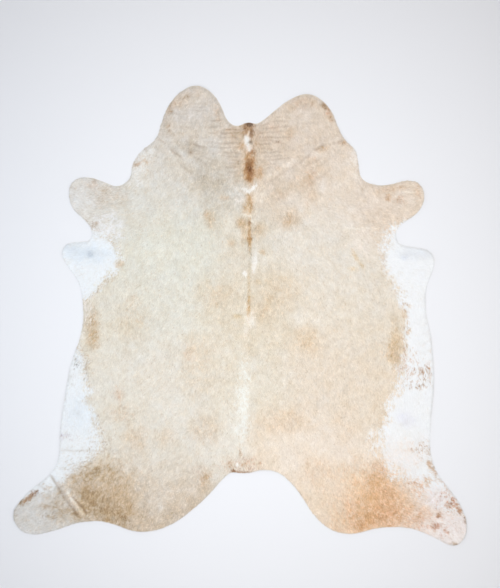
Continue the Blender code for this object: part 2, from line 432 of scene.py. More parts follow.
groundZones = (
    ("neck lobe", 288, 1020, 170, "#dbd3c8", "#e0d5c7"),
    ("side of neck", 270, 850, 165, "#d8d2c8", "#e2d4c4"),
    ("crest", 0, 830, 110, "#d8cab7", "#d8cab7"),
    ("side of withers", 212, 682, 150, "#d1cbbf", "#dbcfbf"),
    ("shoulder", 425, 635, 155, "#dfdcd4", "#e6dbcd"),
    ("foreleg root", 612, 552, 130, "#dad8cf", "#e1d2c1"),
    ("foreleg", 800, 595, 150, "#dfddd8", "#e3d6c6"),
    ("withers", 0, 330, 140, "#ddd6c8", "#ddd6c8"),
    ("upper ribs", 388, 365, 190, "#deddd1", "#e2dcd1"),
    ("back", 0, 0, 165, "#ddd3c0", "#ddd3c0"),
    ("ribs", 425, 77, 200, "#dedbcf", "#e3dbcd"),
    ("belly", 688, -50, 135, "#e1dccf", "#e3dacb"),
    ("loin", 0, -323, 165, "#e1dacb", "#e1dacb"),
    ("side of loin", 412, -300, 200, "#e1dcd1", "#e2d6c5"),
    ("flank", 670, -450, 150, "#e2ded3", "#e5d9c7"),
    ("hip", 388, -648, 170, "#e2ddd2", "#ebe0d2"),
    ("rump", 0, -660, 140, "#e6e1d6", "#e8dccb"),
    ("thigh", 400, -910, 150, "#cfc0ac", "#e9d9c4"),
    ("shank", 1015, -990, 140, "#d8d6d1", "#eee7e3"),
)

# patches of other hair on the ground, the later over the earlier, in millimetres
# name, x, y, reach x, reach y, turn, softness, speckle, share of the hairs, colour

patches = (
    ("left haunch", -690, -915, 190, 172, 0, 0.7, 0.55, 0.86, "#cab598"),
    ("left haunch low", -660, -975, 85, 85, 0, 0.9, 0.6, 0.42, "#a98f6b"),
    ("left haunch fleck", -650, -800, 60, 70, -20, 0.8, 0.6, 0.25, "#b09672"),
    ("left haunch dark", -575, -1020, 40, 40, 0, 0.9, 0.6, 0.4, "#96784e"),
    ("right haunch", 705, -935, 200, 176, 0, 0.85, 0.5, 0.82, "#e3bf98"),
    ("right haunch low", 665, -1010, 150, 80, 0, 0.9, 0.4, 0.36, "#cf9d70"),
    ("right haunch rust", 600, -1045, 60, 30, 10, 0.9, 0.35, 0.28, "#c08a58"),
    ("right haunch upper", 690, -825, 60, 70, 0, 0.8, 0.5, 0.45, "#d4a87c"),
    ("right hip tan", 400, -775, 70, 60, 0, 0.9, 0.4, 0.4, "#dcbd9a"),
    ("right thigh mixed", 870, -900, 110, 80, -30, 0.9, 0.6, 0.35, "#ead6c2"),
    ("right thigh low", 805, -1000, 85, 50, 0, 0.9, 0.7, 0.6, "#dab490"),
    ("right flank tan", 525, -560, 60, 90, 0, 0.9, 0.3, 0.3, "#dcc3a4"),
    ("right haunch outer", 735, -920, 75, 100, 0, 0.9, 0.6, 0.34, "#cfa077"),
    ("left haunch outer", -738, -930, 60, 62, 0, 0.9, 0.6, 0.5, "#a08661"),
    ("left flank tan upper", -595, -485, 65, 42, 0, 0.9, 0.4, 0.36, "#cdb598"),
    ("left loin tan", -205, -320, 85, 85, 0, 0.9, 0.3, 0.26, "#d2bb9a"),
    ("right rib pale", 602, 352, 50, 62, 0, 0.9, 0.6, 0.5, "#f1e8de"),
    ("left haunch upper", -725, -785, 34, 38, 0, 0.9, 0.6, 0.5, "#a98e66"),
    ("left haunch rim dark", -608, -998, 36, 24, 0, 0.9, 0.6, 0.4, "#96784e"),
    ("left haunch inner pale", -500, -922, 28, 28, 0, 0.9, 0.5, 0.35, "#ddd5c6"),
    ("left thigh pale upper", -350, -802, 52, 34, 0, 0.9, 0.4, 0.4, "#e5dfd3"),
    ("left thigh low brown", -360, -982, 55, 32, 0, 0.9, 0.5, 0.35, "#c8b08e"),
    ("right thigh upper", 712, -748, 38, 34, 0, 0.9, 0.6, 0.6, "#c9996c"),
    ("right haunch low outer", 738, -1010, 36, 36, 0, 0.9, 0.6, 0.45, "#c38d5c"),
    ("right haunch inner", 552, -955, 30, 36, 0, 0.9, 0.5, 0.3, "#cf9d70"),
    ("right thigh inner pale", 490, -885, 34, 44, 0, 0.9, 0.5, 0.35, "#f0e0cf"),
    ("left lobe tan upper", -295, 1057, 50, 34, 0, 0.9, 0.3, 0.3, "#c6ae90"),
    ("left haunch rim outer", -800, -997, 34, 24, 0, 0.9, 0.5, 0.34, "#a08661"),
    ("left thigh pale", -410, -890, 60, 110, 0, 0.9, 0.4, 0.5, "#e0d9ce"),
    ("left rump brown", -185, -812, 30, 50, -10, 0.8, 0.6, 0.45, "#bd9c76"),
    ("left rump brown upper", -215, -765, 26, 22, 0, 0.8, 0.6, 0.25, "#c9ab8d"),
    ("left hip tan", -170, -560, 70, 70, 0, 0.9, 0.3, 0.4, "#ceb698"),
    ("left flank tan", -515, -615, 60, 70, 0, 0.9, 0.3, 0.45, "#d2bca0"),
    ("left flank tan low", -360, -600, 45, 45, 0, 0.9, 0.3, 0.35, "#d2bca0"),
    ("left flank rust", -605, -385, 24, 32, 0, 0.9, 0.4, 0.4, "#d4b090"),
    ("left loin rust", -250, -185, 26, 32, 0, 0.9, 0.4, 0.3, "#d8b594"),
    ("left back tan", -200, -170, 85, 80, 0, 0.9, 0.3, 0.32, "#d8c2a4"),
    ("left belly streaks", -540, -20, 70, 110, 0, 0.9, 0.45, 0.26, "#ccb697"),
    ("left girth tan", -548, 92, 24, 26, 0, 0.9, 0.6, 0.3, "#c9ae8c"),
    ("right back tan", 335, -122, 60, 60, 0, 0.9, 0.3, 0.42, "#d8bb94"),
    ("right loin tan", 210, -520, 100, 60, 0, 0.9, 0.3, 0.42, "#dcc09e"),
    ("left flank brown", -743, -40, 34, 92, 3, 0.9, 0.5, 0.6, "#ba9c74"),
    ("left flank brown low", -722, -120, 36, 60, 0, 0.9, 0.6, 0.25, "#c6aa84"),
    ("left flank rim flecks", -775, 40, 24, 110, 0, 0.7, 0.95, 0.4, "#8f8068"),
    ("left flank rim pale", -765, 30, 30, 120, 0, 0.7, 0.95, 0.4, "#efeae2"),
    ("right flank brown", 774, -140, 30, 100, 0, 0.9, 0.35, 0.66, "#ccb088"),
    ("right flank brown low", 745, -175, 50, 40, 0, 0.9, 0.7, 0.25, "#d0b088"),
    ("left elbow pale", -655, 437, 85, 80, 0, 0.6, 0.85, 0.55, "#ecedee"),
    ("left shoulder pale", -490, 790, 55, 75, -20, 0.6, 0.8, 0.55, "#ebebe8"),
    ("left shoulder pale low", -510, 700, 40, 60, -10, 0.8, 0.8, 0.45, "#ebebe8"),
    ("right shoulder pale", 568, 775, 22, 75, 0, 0.7, 0.8, 0.55, "#f2ece4"),
    ("left neck grey", -170, 680, 70, 60, 0, 0.9, 0.3, 0.25, "#b9ac98"),
    ("left neck grey upper", -245, 838, 60, 34, -10, 0.9, 0.3, 0.3, "#b5aa9c"),
    ("left neck grey lower", -200, 688, 26, 20, 0, 0.9, 0.4, 0.2, "#a3937c"),
    ("left neck grey right", -95, 664, 20, 18, 0, 0.9, 0.4, 0.32, "#9f8b6c"),
    ("left lobe rim brown", -348, 1030, 40, 14, 50, 0.9, 0.6, 0.4, "#a98b6b"),
    ("left lobe rim brown upper", -290, 1078, 40, 18, 35, 0.9, 0.6, 0.35, "#b89a7c"),
    ("left lobe rim grey", -374, 975, 9, 34, -6, 0.9, 0.6, 0.3, "#a8a49c"),
    ("left lobe brown", -350, 952, 20, 34, 10, 0.9, 0.6, 0.3, "#b89a7a"),
    ("left lobe crest", -240, 1108, 50, 20, 25, 0.9, 0.5, 0.25, "#c4aa8c"),
    ("left lobe tan", -310, 912, 26, 10, 0, 0.9, 0.6, 0.3, "#b9a385"),
    ("left lobe inner tan", -116, 1030, 18, 45, 20, 0.9, 0.5, 0.3, "#cdb092"),
    ("right lobe rim dark", 416, 1052, 26, 9, -40, 0.8, 0.5, 0.45, "#9c7b58"),
    ("right lobe rim brown", 446, 1008, 10, 34, 14, 0.9, 0.6, 0.5, "#b8906c"),
    ("right lobe rust", 432, 1022, 16, 16, 0, 0.9, 0.5, 0.2, "#dcaa88"),
    ("right neck rim brown", 515, 868, 24, 10, -8, 0.9, 0.6, 0.4, "#b89068"),
    ("right neck spot", 410, 838, 26, 15, 25, 1.0, 0.5, 0.35, "#c79c68"),
    ("right neck spot low", 360, 792, 22, 14, 25, 0.9, 0.5, 0.3, "#c59d76"),
    ("right neck small spot", 186, 740, 14, 10, 0, 0.7, 0.5, 0.3, "#c69c74"),
    ("right neck stripe", 250, 905, 20, 34, 0, 0.8, 0.5, 0.24, "#cba883"),
    ("right neck rust", 165, 950, 34, 18, -10, 0.8, 0.3, 0.16, "#c99b74"),
    ("right neck small dark", 190, 872, 11, 8, 0, 0.6, 0.4, 0.5, "#b09a86"),
    ("right neck rust low", 330, 690, 90, 50, 30, 0.9, 0.5, 0.2, "#d8b796"),
    ("crest tan left", -48, 928, 62, 22, 0, 0.8, 0.4, 0.15, "#c79f7a"),
    ("crest tan", 40, 900, 110, 50, 0, 0.9, 0.4, 0.2, "#c9a583"),
    ("crest side left", -10, 780, 52, 120, 0, 0.9, 0.4, 0.18, "#cdae8e"),
    ("crest side right", 110, 780, 42, 110, 0, 0.9, 0.4, 0.05, "#d2b190"),
    ("left withers brown", -150, 490, 26, 38, 10, 0.9, 0.3, 0.45, "#bea27c"),
    ("left withers brown upper", -165, 510, 20, 14, 0, 0.8, 0.6, 0.25, "#c0a078"),
    ("left withers tan spot", -70, 592, 22, 10, 0, 0.8, 0.4, 0.4, "#cfae8a"),
    ("right shoulder smudge", 350, 690, 24, 40, -25, 0.9, 0.3, 0.28, "#c8a480"),
    ("right shoulder smudge low", 350, 602, 26, 36, -20, 0.9, 0.3, 0.25, "#cfab86"),
    ("right withers side tan", 190, 605, 34, 28, 0, 0.9, 0.3, 0.2, "#cfae8c"),
    ("left back spot", -42, 368, 18, 15, 0, 0.9, 0.2, 0.35, "#cfb291"),
    ("right withers brown", 240, 487, 55, 40, 0, 0.9, 0.2, 0.42, "#c6a986"),
    ("right withers brown core", 241, 486, 20, 36, 0, 0.8, 0.3, 0.36, "#bb9b73"),
    ("right rib mark upper", 572, 305, 9, 32, 32, 0.7, 0.5, 0.5, "#cdb080"),
    ("right rib mark lower", 604, 262, 8, 26, 32, 0.7, 0.5, 0.45, "#cdb080"),
    ("right rib mark low", 565, 240, 24, 9, -10, 0.8, 0.5, 0.35, "#d2b78a"),
    ("right foreleg spot", 735, 592, 14, 15, 0, 0.8, 0.5, 0.6, "#bd9468"),
    ("right foreleg brown", 790, 582, 28, 20, 0, 0.8, 0.7, 0.4, "#c9a580"),
    ("right foreleg brown upper", 752, 634, 60, 14, 4, 0.8, 0.6, 0.38, "#c9a784"),
    ("right foreleg rim brown", 880, 612, 16, 50, 0, 0.8, 0.6, 0.25, "#d4ae88"),
    ("left foreleg rust", -725, 652, 40, 30, 0, 0.9, 0.4, 0.35, "#c6b09a"),
    ("left foreleg brown", -650, 605, 80, 45, -10, 0.9, 0.4, 0.35, "#c0ac94"),
    ("left foreleg low brown", -690, 560, 30, 30, 0, 0.9, 0.4, 0.3, "#c6b59f"),
    ("left elbow brown", -725, 447, 22, 18, 30, 0.8, 0.6, 0.42, "#a98f72"),
    ("left elbow grey", -715, 408, 10, 10, 0, 0.5, 0.5, 0.6, "#a39c96"),
    ("left shoulder spot", -522, 762, 26, 13, 10, 0.6, 0.7, 0.55, "#c4a786"),
    ("left shoulder rust", -470, 775, 26, 12, -10, 0.8, 0.7, 0.35, "#c9b094"),
    ("tail brown", 10, -738, 90, 34, 0, 0.8, 0.7, 0.45, "#c9a586"),
    ("tail brown upper", 6, -700, 7, 26, 0, 0.8, 0.6, 0.34, "#b08a66"),
    ("tail rim", 20, -777, 50, 6, -3, 0.7, 0.4, 0.7, "#8f6038"),
    ("tail rim left", -36, -772, 12, 9, -12, 0.5, 0.4, 0.9, "#8a5f3a"),
    ("rump streak", 14, -430, 31, 190, -2, 0.9, 0.7, 0.68, "#eff0ea"),
    ("rump streak low", 12, -520, 50, 95, -3, 0.8, 0.7, 0.27, "#ecece6"),
    ("rump streak upper", 30, -60, 16, 120, -2, 0.9, 0.7, 0.35, "#f1eadf"),
    ("tail dot", -14, -738, 9, 10, 0, 0.4, 0.2, 0.95, "#f6f4f0"),
    ("tail root line", 0, -678, 4, 30, 0, 0.6, 0.4, 0.45, "#a5835f"),
    ("back tan spots", 100, 30, 60, 60, 0, 0.9, 0.4, 0.2, "#cfae86"),
    ("back tan spot left", -10, 4, 20, 10, 0, 0.8, 0.2, 0.5, "#c9ac78"),
    ("back tan spot right", 90, 174, 16, 14, 0, 0.8, 0.3, 0.5, "#cdb48c"),
    ("back tan left", -130, 110, 80, 70, 0, 0.9, 0.3, 0.28, "#d2b48e"),
    ("back tan right", 200, 120, 80, 90, 0, 0.9, 0.3, 0.3, "#d4b892"),
    ("eel stripe upper", 48, 410, 9, 80, 0, 0.6, 0.4, 0.8, "#bb9463"),
    ("eel stripe dark", 47, 390, 13, 20, 0, 0.7, 0.4, 0.72, "#ad8350"),
    ("eel stripe head", 48, 468, 9, 12, 0, 0.6, 0.4, 0.9, "#93724c"),
    ("eel stripe", 46, 118, 6, 100, 1, 0.7, 0.4, 0.5, "#c2a678"),
    ("eel stripe lower", 42, 34, 8, 70, 1, 0.7, 0.4, 0.6, "#c69f6c"),
    ("withers pale left", -58, 470, 34, 44, 0, 0.9, 0.6, 0.55, "#ebe6da"),
    ("right lobe crown tan", 305, 1062, 62, 30, 8, 0.9, 0.5, 0.4, "#c8ab8f"),
    ("eel stripe grey", 50, 286, 4, 62, 0, 0.6, 0.4, 0.55, "#b3a68e"),
    ("left smudge", 12, 466, 28, 24, 0, 0.9, 0.2, 0.66, "#c5a57d"),
    ("left smudge low", 25, 410, 18, 40, 0, 0.9, 0.25, 0.45, "#ceb088"),
    ("right smudge", 94, 432, 32, 34, -20, 0.9, 0.25, 0.6, "#c8ac86"),
    ("right smudge low", 110, 322, 16, 12, -30, 0.7, 0.2, 0.58, "#d3b892"),
    ("back white upper", 73, 270, 11, 46, -4, 0.5, 0.5, 0.7, "#f4f2ee"),
    ("back white left", 24, 216, 13, 16, 30, 0.5, 0.5, 0.8, "#f4f2ee"),
    ("back white tail", 20, 140, 12, 30, 0, 0.8, 0.6, 0.3, "#efe8da"),
    ("back white lower", 51, -18, 24, 36, 0, 0.7, 0.6, 0.65, "#f4f0e8"),
    ("withers brown", 48, 562, 24, 56, 0, 0.8, 0.5, 0.65, "#c9a678"),
    ("withers brown core", 52, 578, 9, 46, 0, 0.7, 0.4, 0.65, "#b88e5c"),
    ("withers brown left", 24, 552, 18, 24, 0, 0.8, 0.6, 0.4, "#cba87c"),
    ("withers white left", 2, 582, 30, 16, 20, 0.9, 0.7, 0.6, "#f2ede6"),
    ("withers white right", 96, 600, 34, 40, 0, 0.9, 0.6, 0.45, "#efe6d8"),
    ("withers white cross", 36, 507, 32, 6, -12, 0.6, 0.5, 0.75, "#f2ede4"),
    ("crest blotch", 50, 750, 27, 88, 0, 0.6, 0.6, 0.85, "#c5996a"),
    ("crest blotch right", 88, 718, 26, 26, 0, 0.8, 0.4, 0.5, "#c79c70"),
    ("crest blotch top", 52, 824, 24, 18, 0, 0.7, 0.6, 0.8, "#a97e55"),
    ("crest blotch upper core", 48, 774, 16, 16, 0, 0.6, 0.5, 0.8, "#98704a"),
    ("crest blotch core", 50, 738, 17, 34, 8, 0.55, 0.45, 0.9, "#8f6239"),
    ("crest blotch dark", 48, 742, 14, 12, 0, 0.6, 0.4, 0.75, "#7a4f2a"),
    ("crest blotch low", 46, 686, 15, 12, 0, 0.6, 0.5, 0.8, "#a0764a"),
    ("crest white v right", 66, 643, 30, 10, 45, 0.35, 0.3, 0.95, "#f4f2ee"),
    ("crest white v left", 32, 632, 24, 10, -32, 0.35, 0.3, 0.95, "#efece6"),
    ("crest cap", 44, 934, 28, 34, 0, 0.6, 0.6, 0.8, "#a57f59"),
    ("crest cap dark", 46, 960, 17, 9, 0, 0.6, 0.3, 0.9, "#6f543d"),
    ("crest cap core", 28, 942, 10, 12, 0, 0.6, 0.5, 0.7, "#8a6444"),
    ("crest cap left", 20, 924, 24, 9, 12, 0.7, 0.6, 0.4, "#a98660"),
    ("crest cap right", 58, 917, 8, 20, -8, 0.6, 0.4, 0.85, "#84603e"),
    ("crest white thin", 45, 918, 5, 22, -8, 0.5, 0.3, 0.7, "#ddc8b2"),
    ("crest white", 34, 872, 14, 34, -2, 0.4, 0.35, 0.95, "#f2f1ee"),
    ("crest white foot", 46, 838, 9, 16, -10, 0.5, 0.35, 0.9, "#f2ede6"),
    ("crest notch", 54, 871, 10, 7, 0, 0.5, 0.3, 0.85, "#7f6c5a"),
    ("crest brown left", 14, 852, 20, 18, 0, 0.7, 0.6, 0.6, "#bd9a72"),
    ("crest brown right", 78, 862, 18, 34, 0, 0.8, 0.6, 0.3, "#c6a27a"),
)

# where the white of the belly begins on each side: y, x, half the width of the mixed border

whiteEdges = {
    "left": (
        (520, -1000, 36), (480, -780, 36), (427, -722, 48), (352, -642, 56), (287, -586, 66),
        (217, -630, 60), (162, -684, 54), (112, -745, 34), (80, -790, 26), (30, -880, 20),
        (-105, -852, 46), (-157, -800, 52), (-222, -778, 54), (-322, -755, 38), (-422, -760, 28),
        (-522, -718, 44), (-582, -690, 66), (-657, -700, 68), (-707, -735, 74), (-737, -775, 76),
        (-782, -840, 72), (-837, -900, 56), (-890, -985, 36), (-940, -1300, 30),
    ),
    "right": (
        (520, 1000, 36), (478, 806, 66), (452, 738, 76), (427, 722, 74), (352, 710, 60),
        (267, 720, 40), (227, 735, 34), (142, 774, 34), (62, 803, 22), (12, 808, 24),
        (-87, 808, 30), (-182, 818, 52), (-272, 800, 64), (-387, 770, 60), (-487, 738, 60),
        (-572, 690, 74), (-657, 675, 84), (-737, 725, 125), (-772, 775, 140), (-837, 835, 150),
        (-887, 900, 150), (-960, 970, 130), (-1040, 1300, 100),
    ),
}
whites = {
    "left": "#ebeff1",
    "right": "#eef0f1",
    "ragged": ((55.0, 20.0), (20.0, 10.0)),
    "fleckShare": 0.23,
    "fleckLeft": "#b09678",
    "fleckRight": "#d4bb9f",
    "fleckCover": 0.8,
    "fleckSmooth": 0.1,
    "fleckShuffle": (7.31, 0.37),    # makes a second number from a hair's own
    "hairSmooth": 0.12,
    "nearestSpine": 300,    # the white of the sides ends here at the latest
}

# dark hairs that grow through the white, with painted shade in the folds of the white flaps and flanks
# and a painted highlight on the left hock's ridge, in the same columns as the patches

specks = (
    ("right flank upper specks", 712, 262, 16, 50, 0, 0.8, 1.0, 0.12, "#b89c80"),
    ("right flank border specks", 824, -60, 24, 150, 0, 0.8, 1.0, 0.26, "#c0a27e"),
    ("right flank specks", 838, -250, 44, 66, 0, 0.9, 1.0, 0.28, "#c8a688"),
    ("right flank brown specks", 915, -282, 40, 36, -35, 0.8, 1.0, 0.34, "#b8977a"),
    ("right flank low specks", 890, -340, 62, 22, 8, 0.9, 1.0, 0.22, "#b79a80"),
    ("right flank rim brown", 935, -262, 12, 26, 0, 0.8, 1.0, 0.45, "#b08a68"),
    ("right stifle blush", 820, -690, 115, 85, 0, 0.9, 0.4, 0.42, "#efe4db"),
    ("right shank blush", 985, -905, 75, 42, 0, 0.9, 0.4, 0.55, "#e8ddd9"),
    ("right stifle specks", 905, -655, 36, 34, 0, 0.9, 1.0, 0.35, "#bb9d80"),
    ("right stifle rim specks", 952, -668, 14, 24, 0, 0.8, 1.0, 0.35, "#a98760"),
    ("right stifle rim brown", 955, -765, 15, 52, 30, 0.9, 0.9, 0.7, "#cdb093"),
    ("right shank rim brown", 1000, -808, 10, 50, 30, 0.8, 0.9, 0.3, "#d0b096"),
    ("right hock spot", 930, -822, 15, 30, 25, 0.9, 0.8, 0.5, "#cfae8c"),
    ("right shank freckles", 960, -1010, 90, 90, 0, 0.9, 1.0, 0.14, "#cfa287"),
    ("right shank tan", 900, -1035, 70, 40, -15, 0.9, 0.8, 0.3, "#ddb79a"),
    ("right shank upper freckles", 1030, -892, 28, 24, 0, 0.9, 0.9, 0.5, "#c49c80"),
    ("right thigh border freckles", 862, -850, 66, 46, 0, 0.9, 0.9, 0.3, "#d6ae8a"),
    ("right shank pale streak", 1035, -1075, 80, 5, -48, 0.9, 0.5, 0.7, "#fbf9f7"),
    ("right shank pale streak low", 1068, -1085, 60, 4, -52, 0.9, 0.5, 0.6, "#fbf9f7"),
    ("right shank pale streak upper", 1020, -1040, 50, 4, -42, 0.9, 0.5, 0.5, "#fbf9f7"),
    ("right shank big spot", 1052, -945, 38, 32, -50, 0.75, 0.9, 0.5, "#c08a62"),
    ("right shank spot core", 1042, -942, 13, 14, 0, 0.6, 0.6, 0.65, "#94603a"),
    ("right shank rim spot", 1090, -972, 14, 22, 12, 0.7, 0.8, 0.6, "#b98b68"),
    ("right shank middle spot", 987, -995, 11, 13, 0, 0.6, 0.6, 0.75, "#b1805a"),
    ("right shank low spot", 973, -1050, 22, 15, -10, 0.7, 0.8, 0.65, "#b98868"),
    ("right shank rim dark", 1118, -1022, 6, 18, 8, 0.6, 0.6, 0.6, "#8d6a50"),
    ("right shank tip spot", 1072, -1140, 20, 7, -10, 0.7, 0.6, 0.7, "#a08468"),
    ("left flank specks", -870, -590, 60, 34, 0, 0.9, 1.0, 0.14, "#b5a3ae"),
    ("left flank rim specks", -815, -215, 30, 60, 20, 0.9, 1.0, 0.18, "#8f8a84"),
    ("left border specks", -760, -230, 26, 90, 0, 0.9, 1.0, 0.13, "#a59780"),
    ("left flank rim pale specks", -786, -95, 20, 60, 0, 0.8, 1.0, 0.3, "#efeae2"),
    ("left flank mixed", -700, -640, 70, 80, 0, 0.9, 1.0, 0.15, "#b5a48c"),
    ("left stifle mixed", -790, -740, 70, 36, 20, 0.9, 1.0, 0.16, "#a3937c"),
    ("left haunch border", -760, -790, 60, 50, 30, 0.9, 1.0, 0.2, "#a58d6c"),
    # painted shade: these bluish patches lie in the folds of the white flaps and flanks and stand in
    # for their shadow
    ("left flap painted shade", -765, 314, 100, 42, -4, 0.9, 0.2, 0.85, "#dfe8ef"),
    ("left flap painted shade core", -740, 308, 13, 14, 0, 0.9, 0.2, 0.8, "#c6d2de"),
    ("left flap painted shade upper", -830, 340, 34, 16, 0, 0.9, 0.2, 0.5, "#dbe4ec"),
    ("left flank painted shade", -800, -490, 70, 80, 0, 0.9, 0.2, 0.4, "#dde7f0"),
    ("right flap painted shade", 815, 292, 16, 13, 0, 0.9, 0.2, 0.8, "#d9dde4"),
    ("right flap painted shade outer", 872, 314, 75, 30, 0, 0.9, 0.2, 0.8, "#e4e8ec"),
    ("right flank painted shade", 832, -510, 46, 30, -20, 0.9, 0.2, 0.35, "#dfe0ee"),
    ("left armpit fleck", -598, 262, 18, 18, 20, 0.9, 0.4, 0.5, "#cdb698"),
    ("left shank rim brown", -1046, -902, 46, 11, 44, 0.7, 1.0, 0.8, "#a58462"),
    ("left shank rim dark", -1022, -884, 26, 10, 44, 0.6, 0.9, 0.75, "#86623f"),
    ("left shank rim low", -1092, -922, 16, 14, 40, 0.7, 0.7, 0.7, "#b09c82"),
    ("left shank tip brown", -1122, -980, 10, 15, 0, 0.7, 0.7, 0.35, "#a3917e"),
    ("left shank smear", -960, -950, 32, 14, 0, 0.8, 0.6, 0.55, "#ac9478"),
    ("left shank smear low", -925, -985, 60, 30, 0, 0.9, 0.7, 0.45, "#b6a286"),
    ("left shank middle brown", -900, -922, 40, 25, 0, 0.9, 0.6, 0.3, "#b39a78"),
    # painted highlight: the pale strip on the lit side of the left hock's ridge
    ("left hock ridge painted highlight", -832, -928, 85, 12, -52, 0.8, 0.5, 0.5, "#dccbb8"),
    ("right shank low freckles", 1022, -1068, 34, 26, 0, 0.9, 0.9, 0.42, "#c9a48c"),
    ("left hock tan", -885, -915, 40, 60, -30, 0.9, 0.6, 0.3, "#bfae96"),
)

# noise is rows of cell in millimetres and size, and a hue is what it does to red, green and blue

coat = {
    "mottle": ((70.0, 0.006), (26.0, 0.011), (10.5, 0.017)),
    "mottleHue": (0.85, 1.0, 1.2),
    "tanClouds": ((90.0, 0.005), (38.0, 0.008), (16.0, 0.007)),
    "tanHue": (0.25, 0.8, 1.6),
    "lockStreaks": ((10.0, 0.013), (5.0, 0.018)),
    "lockHue": (0.95, 1.0, 1.1),
    "paleGreen": 0.975,
    "contrastPerGreen": 9.0,
    "contrastRange": (0.2, 2.4),
    "ragged": ((34.0, 0.16), (13.0, 0.10)),
    "speckCell": 8.0,
    "lockCell": 6.0,
    "speckShare": 0.6,
    "lockShare": 0.4,
    "ownShare": 0.9,
    "speckSmooth": 0.14,
    # painted shade along the cut rim, standing in for the thin shadow at the edge
    "paintedRimShade": 0.10,
    "paintedRimShadeReach": 5.0 * mm,
    # the hue of the painted shade and highlight of the folds
    "paintedShadeHue": (0.8, 1.0, 1.2),
    "spineBlend": 60,
    "farWeight": 1e-4,
    "patchMargin": 20,
    "looseReach": 45.0,
    "leastLoose": 0.3,
}


def groundColour(x, y):
    gap, blend = abs(x / mm - spineX), coat["spineBlend"]
    onRight = smoothStep(-blend, blend, x / mm - spineX)[:, None]
    total, weights = np.zeros((len(x), 3)), np.zeros((len(x), 1))
    for _, out, along, reach, left, right in groundZones:
        far = np.hypot(gap - out, y / mm - along)[:, None] / reach
        weight = np.exp(-(far ** 2)) + coat["farWeight"] / (1 + far ** 4)
        total += weight * (hexToSrgb(left) * (1 - onRight) + hexToSrgb(right) * onRight)
        weights += weight
    return total / weights


def layPatches(colour, xMm, yMm, chance, ragged, table):
    # chance is each hair's own number from 0 to 1: a share of the hairs takes the patch's colour
    for _, px, py, reachX, reachY, turn, soft, speckle, share, code in table:
        c, s = math.cos(math.radians(turn)), math.sin(math.radians(turn))
        reach = max(reachX, reachY) * (1 + soft) + coat["patchMargin"]
        near = np.flatnonzero((abs(xMm - px) < reach) & (abs(yMm - py) < reach))
        u, v = xMm[near] - px, yMm[near] - py
        across, along = (u * c + v * s) / reachX, (v * c - u * s) / reachY
        looseness = min(1.0, min(reachX, reachY) / coat["looseReach"] + coat["leastLoose"])
        edge = np.hypot(across, along) + ragged[near] * looseness
        cover = share * (1.0 - smoothStep(1.0 - soft, 1.0 + soft, edge))
        smooth = coat["speckSmooth"]
        specked = smoothStep(-smooth, smooth, cover * (1 + smooth) - chance[near] - smooth * 0.5)
        cover = cover * (1 - speckle) + specked * speckle
        colour[near] += cover[:, None] * (hexToSrgb(code) - colour[near])


def coatColour(x, y, own):
    xMm, yMm = x / mm, y / mm
    angle = lieDirection(x, y)
    locks = softNoise(xMm, yMm, coat["speckCell"], seeds["specks"]) * coat["speckShare"]
    locks += (streakNoise(x, y, angle, coat["lockCell"], seeds["locks"]) * coat["lockShare"]
              + (own - 0.5) * coat["ownShare"])
    chance = np.argsort(np.argsort(locks, kind="stable"), kind="stable") / len(locks)
    ragged = noiseLayers(xMm, yMm, coat["ragged"], seeds["ragged"])
    colour = groundColour(x, y)
    layPatches(colour, xMm, yMm, chance, ragged, patches)

    # the white sides, with brown hairs mixed in where they meet the roan
    drift = noiseLayers(xMm, yMm, whites["ragged"], seeds["whiteEdge"])
    times, plus = whites["fleckShuffle"]
    fleckChance = np.mod(chance * times + plus, 1.0)
    fleckSmooth, hairSmooth = whites["fleckSmooth"], whites["hairSmooth"]
    for side, sign in (("left", -1), ("right", 1)):
        rows = np.array(whiteEdges[side][::-1], float)
        edgeX, half = (np.interp(yMm, rows[:, 0], rows[:, i]) for i in (1, 2))
        share = smoothStep(-1.0, 1.0, (sign * (xMm - edgeX) + drift) / half)
        share[sign * xMm < whites["nearestSpine"]] = 0
        border = 4 * share * (1 - share)    # 1 in the middle of the mixed border
        fleck = smoothStep(-fleckSmooth, fleckSmooth, border * whites["fleckShare"] - fleckChance)
        code = whites["fleckLeft" if sign < 0 else "fleckRight"]
        colour += (whites["fleckCover"] * fleck)[:, None] * (hexToSrgb(code) - colour)
        whiteness = share * (1 + hairSmooth) - chance - hairSmooth / 2
        white = smoothStep(-hairSmooth, hairSmooth, whiteness)
        colour += white[:, None] * (hexToSrgb(whites[side]) - colour)
    layPatches(colour, xMm, yMm, chance, ragged, specks)

    # deeper colours show more contrast between one lock and the next
    contrast = (coat["paleGreen"] - colour[:, 1]) * coat["contrastPerGreen"]
    contrast = np.clip(contrast, *coat["contrastRange"])
    mottle = noiseLayers(xMm, yMm, coat["mottle"], seeds["mottle"])
    clouds = noiseLayers(xMm, yMm, coat["tanClouds"], seeds["tanClouds"])
    streak = sum(size * streakNoise(x, y, angle, cell, seeds["lockStreaks"] + i)
                 for i, (cell, size) in enumerate(coat["lockStreaks"]))
    colour += (contrast * mottle)[:, None] * np.array(coat["mottleHue"])
    colour += (contrast * clouds)[:, None] * np.array(coat["tanHue"])
    colour += (contrast * streak)[:, None] * np.array(coat["lockHue"])
    return colour, contrast


def paintedFoldShading(x, y):
    # painted shade: what the folds' painted shade takes off the colour, and on ridges what their
    # painted highlight adds
    return 1.0 - foldMarks(x, y)[1][:, None] * np.array(coat["paintedShadeHue"])


# materials: one helper adds a node with its settings and links

def addNode(tree, kind, settings=None, links=None):
    node = tree.nodes.new(kind)
    for name, value in (settings or {}).items():
        if isinstance(name, int) or name in node.inputs:
            node.inputs[name].default_value = value
        else:
            setattr(node, name, value)
    for name, source in (links or {}).items():
        tree.links.new(source, node.inputs[name])
    return node


def newMaterial(name):
    material = bpy.data.materials.new(name)
    material.use_nodes = True
    material.node_tree.nodes.clear()
    return material, material.node_tree


def finishMaterial(tree, shader):
    addNode(tree, "ShaderNodeOutputMaterial", links={"Surface": shader.outputs[0]})


